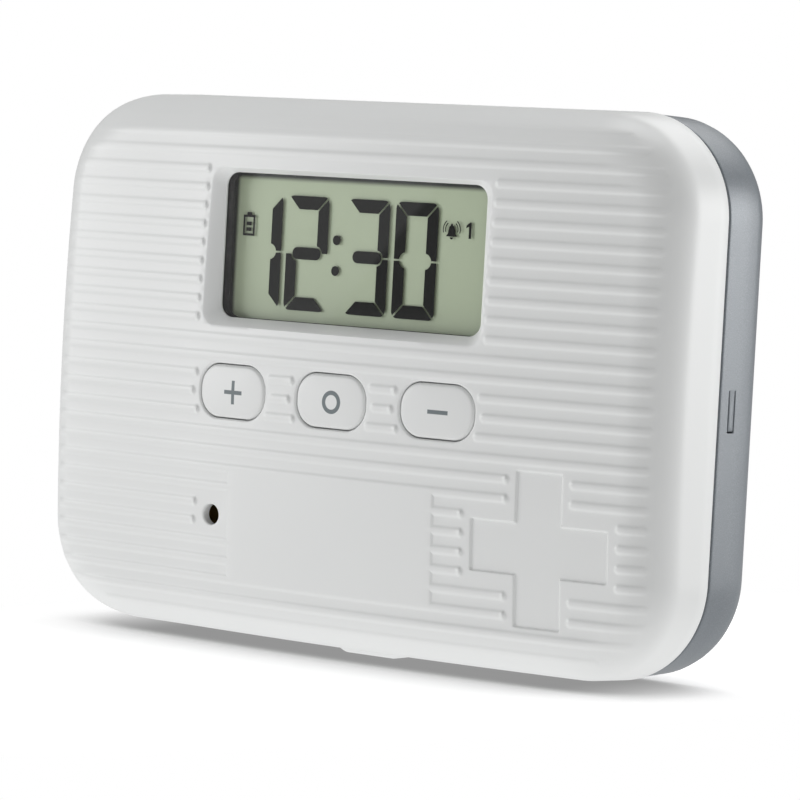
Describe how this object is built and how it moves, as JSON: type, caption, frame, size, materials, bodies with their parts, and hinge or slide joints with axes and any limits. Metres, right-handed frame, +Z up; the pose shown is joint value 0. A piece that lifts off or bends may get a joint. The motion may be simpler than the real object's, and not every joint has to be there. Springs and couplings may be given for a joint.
{
  "type": "electronic pill box",
  "caption": "Pocket pill box with a clock lid: ribbed white face, display window and push buttons, hinged on a grey shell with a drop-in pill tray.",
  "frame": {"origin": "centre of the closed box's footprint, level with the underside of the thumb lip that it stands on", "axes": "+X along the long edges to the right as the face is seen, +Y from the ribbed face to the plain back, +Z up along the short edges"},
  "size_m": [0.1054, 0.0284, 0.0766],
  "materials": {
    "white_plastic": "fine satin, moulded",
    "button_plastic": "satin, moulded",
    "inner_plastic": "fine satin, moulded",
    "tray_plastic": "semi-gloss, moulded",
    "shell_paint": "satin grey with a fine metallic speckle",
    "clear_window": "polished clear",
    "display_glass": "grey-green liquid crystal glass",
    "black_plastic": "matte black",
    "connector_rubber": "banded silicone",
    "board_green": "solder mask",
    "grey_silicone": "matte silicone",
    "black_resin": "poured resin",
    "bright_steel": "plated steel",
    "brass": "rolled sheet"
  },
  "bodies": {
    "tray_base": {"back_shell": "shell_paint", "pill_tray": "tray_plastic", "hinge_pin_left": "bright_steel", "hinge_pin_right": "bright_steel"},
    "lid": {"front_cover": "white_plastic", "inner_cover": "inner_plastic", "display_lens": "clear_window", "lcd_panel": "display_glass", "lcd_frame": "black_plastic", "lcd_connector": "connector_rubber", "circuit_board": "board_green", "keypad": "grey_silicone", "controller_chip": "black_resin", "crystal_can": "bright_steel", "buzzer_disc": "brass", "coin_cell": "bright_steel", "cell_clip": "bright_steel", "cell_contact": "brass", "battery_door": "inner_plastic", "door_screw": "bright_steel", "cover_screw_1": "bright_steel", "cover_screw_2": "bright_steel", "cover_screw_3": "bright_steel", "cover_screw_4": "bright_steel", "board_screw_left": "bright_steel", "board_screw_right": "bright_steel"},
    "hour_button": {"hour_button": "button_plastic"},
    "mode_button": {"mode_button": "button_plastic"},
    "minute_button": {"minute_button": "button_plastic"}
  },
  "joints": [
    {"name": "lid_hinge", "type": "hinge", "parent": "tray_base", "child": "lid", "pos_m": [0, 0.00881, 0.07473], "axis": [-1, 0, 0], "range_deg": [0, 110]},
    {"name": "hour_button_press", "type": "slide", "parent": "lid", "child": "hour_button", "axis": [0, 1, 0], "range_m": [0, 0.0008], "stiffness_N_per_m": 900},
    {"name": "mode_button_press", "type": "slide", "parent": "lid", "child": "mode_button", "axis": [0, 1, 0], "range_m": [0, 0.0008], "stiffness_N_per_m": 900},
    {"name": "minute_button_press", "type": "slide", "parent": "lid", "child": "minute_button", "axis": [0, 1, 0], "range_m": [0, 0.0008], "stiffness_N_per_m": 900}
  ]
}
